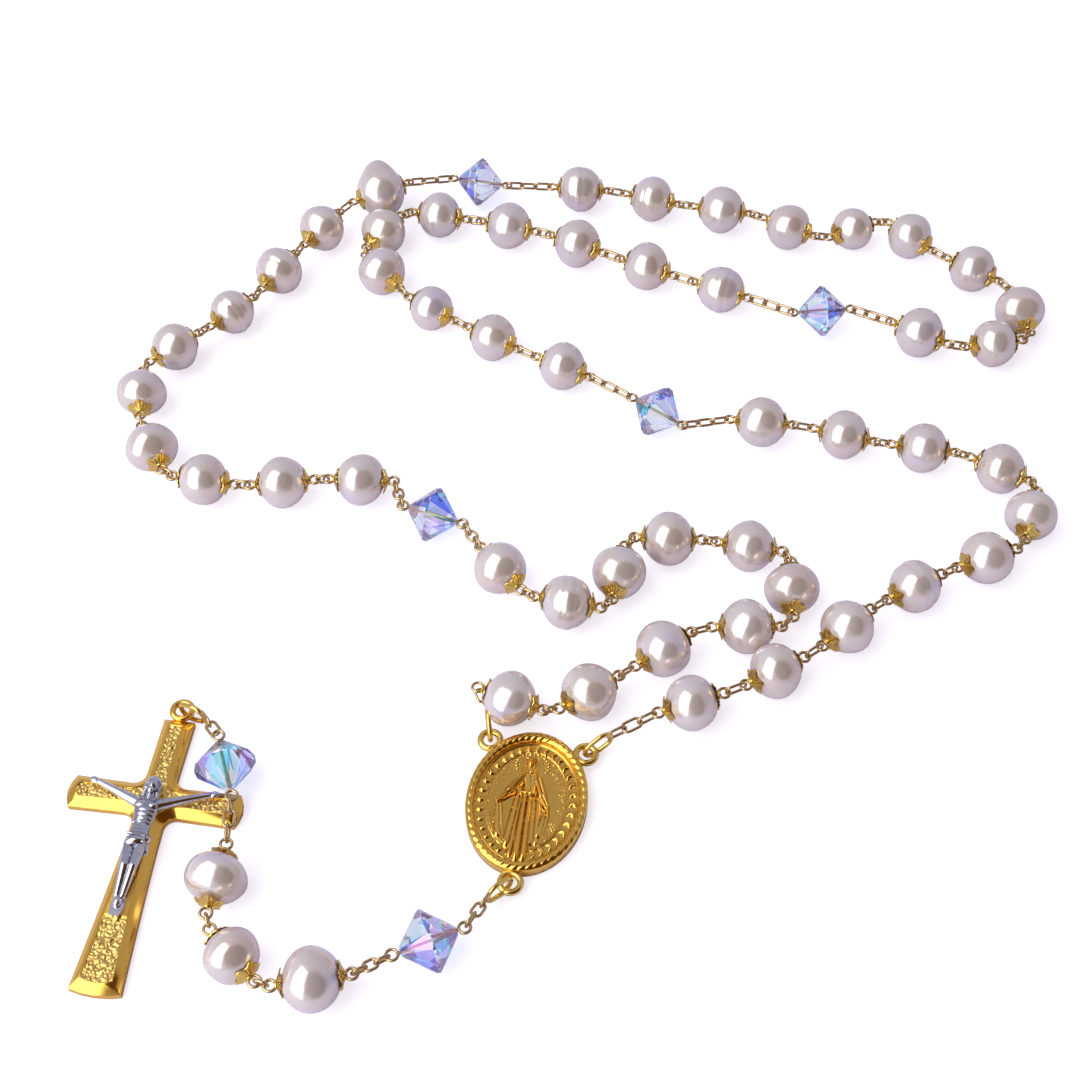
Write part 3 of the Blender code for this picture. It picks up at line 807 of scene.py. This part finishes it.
def medal_relief(u, v):
    """The medal's field: grain, rays, halo, two ovals, a band of leaves and the figure."""
    q = np.hypot(u / MEDAL_HALF_WIDTH, v / MEDAL_HALF_HEIGHT)
    around = np.arctan2(v / MEDAL_HALF_HEIGHT, u / MEDAL_HALF_WIDTH)
    inner = np.hypot(u / 5.75, (v - 0.1) / 8.1)
    base = 1.15 + 0.55 * q ** 2
    base += 0.12 * grain(u.shape, 2) * (inner < 0.97)
    base += 0.14 * np.exp(-((inner - 1) / 0.012) ** 2)
    base += 0.16 * np.exp(-((q - 0.845) / 0.010) ** 2)
    for lean in (3.2, -3.2):
        leaf = np.abs((around / (2 * math.pi) * 34 + lean * (q - 0.76)) % 1 - 0.5) * 2
        band = np.clip(1 - ((q - 0.76) / 0.058) ** 2, 0, 1)
        side = (q > 0.76) if lean > 0 else (q <= 0.76)
        base += 0.24 * side * np.sqrt(band) * np.clip(1 - (leaf / 0.5) ** 2, 0, 1)
    for hand_u, hand_v, middle in ((-4.1, -0.8, -100), (3.3, -1.7, -75)):
        spread = np.degrees(np.arctan2(v - hand_v, u - hand_u)) - middle
        length = np.hypot(u - hand_u, v - hand_v)
        rays = np.clip(np.cos(np.radians(spread * 36)), 0, 1) ** 3
        base += 0.07 * rays * (np.abs(spread) < 28) * (length < 4.8) * (inner < 0.97)
    for i in range(17):
        angle = math.radians(-25 + 230 * i / 16)
        dot = (-0.2 + 2.35 * math.cos(angle), 6.1 + 1.9 * math.sin(angle))
        base = np.maximum(base, 1.35 + dome(u, v, dot, dot, (0.16, 0.16), 0.3))
    return np.maximum(base, 1.15 + 1.3 * figure_relief(u, v))


def medal_field():
    """The relief as a closed slab whose ragged edge hides inside the rim."""
    us = np.arange(-MEDAL_HALF_WIDTH, MEDAL_HALF_WIDTH, GRID_STEP)
    vs = np.arange(-MEDAL_HALF_HEIGHT, MEDAL_HALF_HEIGHT, GRID_STEP)
    u, v = np.meshgrid(us, vs, indexing="ij")
    top = medal_relief(u, v)
    inside = np.hypot(u / MEDAL_HALF_WIDTH, v / MEDAL_HALF_HEIGHT) < RIM_START + 0.045
    return slab(u, v, top, 0.12, inside)


def slab(u, v, top, bottom, inside):
    """Close a height grid with a flat underside and walls, where inside is true."""
    cells = inside[:-1, :-1] & inside[1:, :-1] & inside[1:, 1:] & inside[:-1, 1:]
    index = -np.ones(u.shape, int)
    used = np.zeros(u.shape, bool)
    for du, dv in ((0, 0), (1, 0), (1, 1), (0, 1)):
        used[du:u.shape[0] - 1 + du, dv:u.shape[1] - 1 + dv] |= cells
    index[used] = np.arange(used.sum())
    count = int(used.sum())
    points = [Vector(p) for p in zip(u[used], v[used], top[used])]
    points += [Vector(p) for p in zip(u[used], v[used], np.full(count, bottom))]
    faces = []
    edges = {}
    for i, j in zip(*np.nonzero(cells)):
        quad = (index[i, j], index[i + 1, j], index[i + 1, j + 1], index[i, j + 1])
        quad = tuple(int(k) for k in quad)
        faces.append(quad)
        faces.append(tuple(count + k for k in reversed(quad)))
        for a, b in zip(quad, quad[1:] + quad[:1]):
            if (b, a) in edges:
                del edges[(b, a)]
            else:
                edges[(a, b)] = True
    faces += [(b, a, count + a, count + b) for a, b in edges]
    return points, faces


ROPE_TURNS = 52
RIM_COLUMNS = 416
RIM_ROWS = 16


def medal_rim():
    """The rim: a closed band round the field, its crown cut like rope."""
    points = []
    for j in range(RIM_COLUMNS):
        around = 2 * math.pi * j / RIM_COLUMNS
        for i in range(RIM_ROWS):
            share = i / (RIM_ROWS - 1)
            q = RIM_START + (1.0 - RIM_START) * share
            crown = math.sqrt(max(1 - ((share - 0.55) / 0.62) ** 2, 0))
            twist = math.sin(ROPE_TURNS * around + 9.0 * share)
            level = 1.25 + (MEDAL_THICKNESS - 1.25) * crown + 0.045 * twist * crown
            if share < 0.12:
                level = 1.6
            points.append(Vector((MEDAL_HALF_WIDTH * q * math.cos(around),
                                  MEDAL_HALF_HEIGHT * q * math.sin(around), level)))
        for q, level in ((1.0, 0.3), (0.975, 0.0), (RIM_START, 0.0)):
            points.append(Vector((MEDAL_HALF_WIDTH * q * math.cos(around),
                                  MEDAL_HALF_HEIGHT * q * math.sin(around), level)))
    return points, lattice(RIM_COLUMNS, RIM_ROWS + 3, closed_rows=True)


def eyelet_shape(place, height):
    """A cast round eyelet, flat at a height above the table."""
    ring = tube(oval_path(2 * EYELET_RADIUS, EYELET_RADIUS, 40), EYELET_WIRE_RADIUS, True, 14)
    return placed(ring, Matrix.Translation((*place, height)))


def add_medal():
    """The medal's relief, its rim and its three eyelets."""
    turn = Matrix.Rotation(MEDAL_TURN, 4, "Z")
    parts = (("medal_relief", medal_field(), 70), ("medal_rim", medal_rim(), 60))
    for name, shape, sharp in parts:
        make_piece(name, *placed(shape, turn), cast_gold, "medal", "medal", "gold", sharp)
    for side, place in MEDAL_EYELETS.items():
        shape = placed(eyelet_shape(place, MEDAL_EYELET_HEIGHT), turn)
        make_piece(f"medal_eyelet_{side}", *shape, cap_gold, "medal", "medal", "gold")


# ---------------------------------------------------------------- crucifix

BORDER = 1.35
RIDGE = 2.0
PANEL = 1.62
PANEL_STEP = 0.11
BEHIND = 1.0


def bend(centre, radius, first, last, steps=8):
    """Points on an arc between two angles in degrees."""
    angles = [math.radians(first + (last - first) * i / steps) for i in range(steps + 1)]
    return [(centre[0] + radius * math.cos(a), centre[1] + radius * math.sin(a)) for a in angles]


def cross_ring(inset):
    """The cross's outline, drawn in by an inset, as (across, up) points from the eyelet."""
    fillet = CROSSING_FILLET + inset
    corner = BEAM_HALF_TOP + CROSSING_FILLET
    upper, lower = -ARM_LEVEL + ARM_HALF_WIDTH, -ARM_LEVEL - ARM_HALF_WIDTH
    half = [(0, -BODY_TOP - inset), (BEAM_HALF_TOP - inset, -BODY_TOP - inset)]
    half += bend((corner, upper + CROSSING_FILLET), fillet, 180, 270)
    tip = ARM_SPAN - inset
    rise = ARM_END_HALF - inset
    half += [(tip - 0.75, -ARM_LEVEL + rise), (tip - 0.25, -ARM_LEVEL + rise * 0.55),
             (tip, -ARM_LEVEL), (tip - 0.25, -ARM_LEVEL - rise * 0.55),
             (tip - 0.75, -ARM_LEVEL - rise)]
    half += bend((corner, lower - CROSSING_FILLET), fillet, 90, 180)
    top_of_leg, foot = lower - CROSSING_FILLET, -BODY_BOTTOM + inset
    for i in range(1, 9):
        share = i / 8
        reach = BEAM_HALF_TOP + (BEAM_HALF_BOTTOM - BEAM_HALF_TOP) * share ** 1.25
        half.append((reach - inset, top_of_leg + (foot + 0.5 - top_of_leg) * share))
    half += [((BEAM_HALF_BOTTOM - inset) * 0.5, foot + 0.12), (0, foot)]
    return half + [(-across, up) for across, up in reversed(half[1:-1])]


def cross_body():
    """The cross: an outer wall, a sloping border up to its ridge, and a sunken floor."""
    steps = ((0.0, 0.0), (0.0, 1.0), (0.1, 1.12), (BORDER - 0.12, RIDGE - 0.04),
             (BORDER, RIDGE), (BORDER + 0.1, RIDGE - 0.06), (BORDER + 0.18, PANEL - 0.2))
    points, count = [], len(cross_ring(0))
    for inset, level in steps:
        points += [Vector((*place, level)) for place in cross_ring(inset)]
    faces = lattice(len(steps), count)
    faces.append(tuple(range(count)))
    faces.append(tuple(range((len(steps) - 1) * count, len(steps) * count)))
    return points, faces


def cross_panels():
    """The sunken stippled ground inside the border."""
    inner = cross_ring(BORDER - 0.05)
    us = np.arange(-ARM_SPAN, ARM_SPAN, PANEL_STEP)
    vs = np.arange(-BODY_BOTTOM, 0, PANEL_STEP)
    u, v = np.meshgrid(us, vs, indexing="ij")
    inside = np.zeros(u.shape, bool)
    for (au, av), (bu, bv) in zip(inner, inner[1:] + inner[:1]):
        if av == bv:
            continue
        crosses = (av > v) != (bv > v)
        inside ^= crosses & (u < (bu - au) * (v - av) / (bv - av) + au)
    return slab(u, v, PANEL + 0.42 * grain(u.shape, 2), 0.2, inside)


def cross_bridge():
    """The smooth raised length of the beam behind the figure's legs."""
    points = []
    rows = ((-20.3, 0.96, PANEL - 0.1), (-21.2, 1.02, RIDGE + 0.02), (-27.0, 1.26, RIDGE + 0.02),
            (-33.6, 1.58, RIDGE + 0.02), (-34.3, 1.58, PANEL - 0.1))
    for up, reach, level in rows:
        points += [Vector((-reach, up, level)), Vector((-reach * 0.15, up, level + 0.12)),
                   Vector((reach * 0.15, up, level + 0.12)), Vector((reach, up, level)),
                   Vector((reach, up, BEHIND)), Vector((-reach, up, BEHIND))]
    faces = lattice(len(rows), 6)
    faces += [tuple(range(6)), tuple(range(24, 30))]
    return points, faces


def ellipsoid(centre, radii, turn=0.0):
    """A closed lump for the figure, to be melted together with the rest."""
    points, rows, columns = [], 14, 18
    spin = Matrix.Rotation(turn, 4, "Z")
    for i in range(rows + 1):
        polar = math.pi * i / rows
        for j in range(columns):
            around = 2 * math.pi * j / columns
            ray = Vector((math.sin(polar) * math.cos(around) * radii[0],
                          math.sin(polar) * math.sin(around) * radii[1],
                          math.cos(polar) * radii[2]))
            points.append(Vector(centre) + spin @ ray)
    return points, lattice(rows + 1, columns)


def limb(start, end, radii, steps=18):
    """Overlapping lumps along a line, from one radius to another."""
    start, end = Vector(start), Vector(end)
    lumps = []
    for i in range(steps + 1):
        share = i / steps
        radius = radii[0] + (radii[1] - radii[0]) * share
        lumps.append(ellipsoid(start.lerp(end, share), (radius, radius, radius * 0.9)))
    return lumps


TRUNK = ((1.75, 0.85), (1.9, 1.0), (1.8, 1.05), (1.65, 1.0), (1.5, 0.92), (1.38, 0.85),
         (1.32, 0.82), (1.38, 0.85), (1.5, 0.92), (1.62, 1.0), (1.68, 1.05))


MELT_SIZE = 0.085
SOFTENING = 6


def corpus_shapes():
    """The figure's head, hair, trunk, cloth and limbs, as (across, up, height) lumps."""
    shapes = [
        ellipsoid((0.15, -14.35, 3.95), (0.85, 1.15, 0.85), 0.15),
        ellipsoid((0.05, -13.85, 3.75), (1.05, 1.05, 0.95)),
        ellipsoid((0.14, -14.45, 4.82), (0.13, 0.30, 0.14)),
        ellipsoid((0.1, -15.3, 4.35), (0.50, 0.45, 0.42)),
        ellipsoid((0, -23.2, 3.6), (1.6, 0.85, 1.05), 0.25),
        ellipsoid((1.5, -22.6, 3.5), (0.55, 0.62, 0.6)),
        ellipsoid((1.65, -23.9, 3.2), (0.4, 1.15, 0.4), 0.2),
        ellipsoid((-0.05, -32.0, 3.0), (0.62, 1.0, 0.55)),
    ]
    shapes += limb((0.05, -15.3, 3.7), (0, -17.2, 3.4), (0.62, 0.75), 6)
    for place, (reach, depth) in enumerate(TRUNK):
        shapes.append(ellipsoid((0, -16.9 - 0.62 * place, 3.25), (reach, 1.35, depth)))
    for side in (-1, 1):
        shapes += limb((0.78 * side, -13.9, 3.6), (1.0 * side, -16.2, 3.5), (0.45, 0.34), 6)
        shapes.append(ellipsoid((0.82 * side, -17.5, 3.8), (0.85, 0.62, 0.5)))
        shapes.append(ellipsoid((-0.18 + 0.3 * side, -14.3, 4.62), (0.16, 0.08, 0.08)))
        shapes += limb((1.5 * side, -17.0, 3.3), (4.9 * side, -15.6, 3.2), (0.85, 0.62))
        shapes += limb((4.9 * side, -15.6, 3.2), (8.0 * side, -14.35, 3.0), (0.62, 0.42))
        shapes.append(ellipsoid((8.75 * side, -14.1, 2.9), (0.8, 0.55, 0.32), 0.35 * side))
        shapes += limb((0.82 * side, -23.4, 3.3), (0.62 * side + 0.2, -27.0, 4.0), (0.88, 0.70))
        shapes += limb((0.62 * side + 0.2, -27.0, 4.0), (0.40 * side, -31.3, 3.1), (0.68, 0.46))
        for rib in range(3):
            shapes += limb((0.55 * side, -18.7 - 0.6 * rib, 4.06 - 0.05 * rib),
                           (1.3 * side, -19.2 - 0.6 * rib, 3.66), (0.12, 0.10), 12)
    for pleat in range(4):
        shapes += limb((-1.45 + 0.2 * pleat, -22.1 - 0.42 * pleat, 3.95),
                       (1.2, -22.4 - 0.32 * pleat, 4.25), (0.19, 0.16), 8)
    return shapes


def add_crucifix():
    """The cross with its ground, bridge and eyelet, and the silver figure with its foot block."""
    stand = Matrix.Translation((*CRUCIFIX_EYELET, 0)) @ Matrix.Rotation(CRUCIFIX_TURN, 4, "Z")
    parts = (("cross_border", cross_body(), cast_gold, 25),
             ("cross_ground", cross_panels(), pebbled_gold, 80),
             ("cross_bridge", cross_bridge(), cast_gold, 25),
             ("cross_eyelet", eyelet_shape((0, 0), CRUCIFIX_EYELET_HEIGHT), cast_gold, 60))
    for name, shape, material, sharp in parts:
        make_piece(name, *placed(shape, stand), material, "crucifix", "crucifix", "gold", sharp)
    points, faces = placed(joined(corpus_shapes()), stand)
    mesh = bpy.data.meshes.new("corpus_lumps")
    mesh.from_pydata([tuple(point) for point in points], [], faces)
    lumps = bpy.data.objects.new("corpus_lumps", mesh)
    bpy.context.scene.collection.objects.link(lumps)
    melt = lumps.modifiers.new("melt", "REMESH")
    melt.mode = "VOXEL"
    melt.voxel_size = MELT_SIZE
    melt.use_smooth_shade = True
    soften = lumps.modifiers.new("soften", "SMOOTH")
    soften.factor = 0.5
    soften.iterations = SOFTENING
    graph = bpy.context.evaluated_depsgraph_get()
    melted = bpy.data.meshes.new_from_object(lumps.evaluated_get(graph))
    bpy.data.objects.remove(lumps, do_unlink=True)
    melted.name = "corpus_figure"
    melted.transform(Matrix.Scale(MM, 4))
    finish_piece("corpus_figure", melted, silver, "crucifix", "corpus", 80)
    block = []
    rows = ((-31.2, 0.85, 2.6), (-32.8, 0.95, 2.9), (-34.1, 0.72, 2.95))
    for up, reach, level in rows:
        block += [Vector((-reach, up, level)), Vector((reach, up, level)),
                  Vector((reach, up, 1.9)), Vector((-reach, up, 1.9))]
    faces = lattice(3, 4) + [(0, 1, 2, 3), (8, 9, 10, 11)]
    make_piece("corpus_foot_block", *placed((block, faces), stand), silver, "crucifix", "corpus",
               "silver", 25)


# ---------------------------------------------------------------- stage

CAMERA_PLACE = (0.0019, -0.1200, 0.2166)
CAMERA_PITCH = math.radians(37.9)
CAMERA_LENS = 56.7
FLOOR_REACH = 2.5
FLOOR_GLOW = 0.6
BACKDROP = (1.3, 1.3, 1.35, 1.0)
ROOM_STRENGTH = 0.7


def add_stage():
    """A pale floor, a soft window on the left, a camera, and a room with one dark brown side.

    Floor and room are brighter where the camera sees them directly, the floor through glass too.
    """
    mesh = bpy.data.meshes.new("floor")
    sides = ((-1, -1), (1, -1), (1, 1), (-1, 1))
    corners = [(across * FLOOR_REACH, away * FLOOR_REACH, 0) for across, away in sides]
    mesh.from_pydata(corners, [], [(0, 1, 2, 3)])
    floor = bpy.data.objects.new("floor", mesh)
    bpy.context.scene.collection.objects.link(floor)
    floor.location.z = cad_box[0].z - 0.00005
    material, tree, shader = new_material("floor")
    shader.inputs["Base Color"].default_value = (0.82, 0.78, 0.92, 1)
    shader.inputs["Roughness"].default_value = 0.9
    shader.inputs["Emission Color"].default_value = (1, 1, 1, 1)
    seen = tree.nodes.new("ShaderNodeLightPath")
    shine = add_node(tree, "ShaderNodeMath", operation="MULTIPLY")
    shine.inputs[1].default_value = FLOOR_GLOW
    seen_directly = add_node(tree, "ShaderNodeMath", operation="MAXIMUM")
    tree.links.new(seen.outputs["Is Camera Ray"], seen_directly.inputs[0])
    tree.links.new(seen.outputs["Is Transmission Ray"], seen_directly.inputs[1])
    tree.links.new(seen_directly.outputs[0], shine.inputs[0])
    tree.links.new(shine.outputs[0], shader.inputs["Emission Strength"])
    mesh.materials.append(material)

    def lamp(name, place, size, power, color, roll):
        data = bpy.data.lights.new(name, "AREA")
        data.shape = "RECTANGLE"
        data.size, data.size_y = size
        data.energy = power
        data.color = color
        light = bpy.data.objects.new(name, data)
        light.location = place
        aim = Vector((0.01, 0.05, 0)) - Vector(place)
        turned = aim.to_track_quat("-Z", "Y") @ Quaternion((0, 0, 1), roll)
        light.rotation_euler = turned.to_euler()
        bpy.context.scene.collection.objects.link(light)

    lamp("window", (-0.52, -0.27, 0.50), (0.80, 1.6), 8.4, (0.88, 0.95, 1.0), math.radians(25))

    world = bpy.data.worlds.new("room")
    bpy.context.scene.world = world
    world.use_nodes = True
    tree = world.node_tree
    where = tree.nodes.new("ShaderNodeTexCoord")
    facing = add_node(tree, "ShaderNodeVectorMath", operation="DOT_PRODUCT")
    facing.inputs[1].default_value = Vector((0.44, -0.55, 0.71)).normalized()
    tree.links.new(where.outputs["Generated"], facing.inputs[0])
    color = add_ramp(tree, facing.outputs["Value"],
                     ((0.50, (0.66, 0.64, 0.80)), (0.74, (0.56, 0.48, 0.52)),
                      (0.80, (0.17, 0.07, 0.015)), (1.0, (0.12, 0.05, 0.01))))
    seen = tree.nodes.new("ShaderNodeLightPath")
    backdrop = add_node(tree, "ShaderNodeMix", data_type="RGBA")
    tree.links.new(seen.outputs["Is Camera Ray"], backdrop.inputs["Factor"])
    tree.links.new(color, backdrop.inputs[6])
    backdrop.inputs[7].default_value = BACKDROP
    tree.links.new(backdrop.outputs[2], tree.nodes["Background"].inputs["Color"])
    tree.nodes["Background"].inputs["Strength"].default_value = ROOM_STRENGTH

    data = bpy.data.cameras.new("camera")
    data.lens = CAMERA_LENS
    data.sensor_width = 36
    camera = bpy.data.objects.new("camera", data)
    camera.location = CAMERA_PLACE
    camera.rotation_euler = (CAMERA_PITCH, 0, 0)
    data.clip_start, data.clip_end = 0.01, 20
    bpy.context.scene.collection.objects.link(camera)
    bpy.context.scene.camera = camera
    bpy.context.scene.view_settings.view_transform = "Standard"


add_chain()
add_medal()
add_crucifix()
add_stage()
